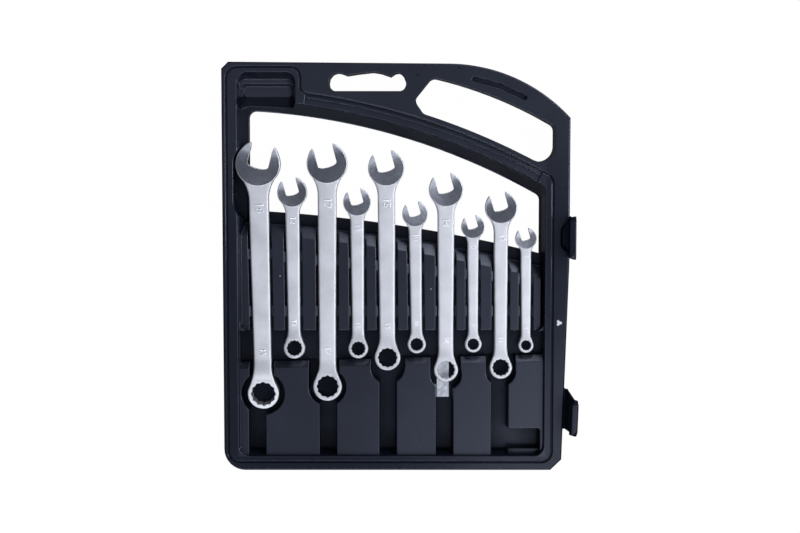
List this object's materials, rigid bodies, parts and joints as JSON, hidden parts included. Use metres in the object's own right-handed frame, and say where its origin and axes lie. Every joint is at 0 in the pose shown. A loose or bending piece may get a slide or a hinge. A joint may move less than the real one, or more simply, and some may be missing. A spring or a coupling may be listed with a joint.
{
  "type": "combination wrench set with organizer",
  "caption": "Combination wrenches with open jaws and slanted box ends, lying in a black moulded tray with carrying handle, hanging slot and two latch flaps.",
  "frame": {"origin": "middle of the tray's flat back face", "axes": "+Z out of the tray's open face, +Y towards the carrying handle, +X towards the latch flaps"},
  "size_m": [0.3086, 0.3564, 0.0464],
  "materials": {
    "tray_plastic": "black moulded plastic, satin gloss",
    "latch_plastic": "black moulded plastic, satin gloss",
    "wrench_steel": "satin chrome-plated forged steel",
    "foil": "bare metallised foil sticker"
  },
  "bodies": {
    "tray": {"tray": "tray_plastic", "wrench_19": "wrench_steel", "wrench_12": "wrench_steel", "wrench_17": "wrench_steel", "wrench_11": "wrench_steel", "wrench_15": "wrench_steel", "wrench_10": "wrench_steel", "wrench_14": "wrench_steel", "wrench_9": "wrench_steel", "wrench_13": "wrench_steel", "wrench_8": "wrench_steel", "foil_sticker": "foil"},
    "latch_upper": {"latch_upper": "latch_plastic"},
    "latch_lower": {"latch_lower": "latch_plastic"}
  },
  "joints": [
    {"name": "upper_latch_hinge", "type": "hinge", "parent": "tray", "child": "latch_upper", "pos_m": [0.1532, 0.0268, 0.0244], "axis": [0, -1, 0], "range_deg": [-168, 48]},
    {"name": "lower_latch_hinge", "type": "hinge", "parent": "tray", "child": "latch_lower", "pos_m": [0.1489, -0.124, 0.0244], "axis": [-0.0333, -0.9994, 0], "range_deg": [-152, 64]}
  ]
}
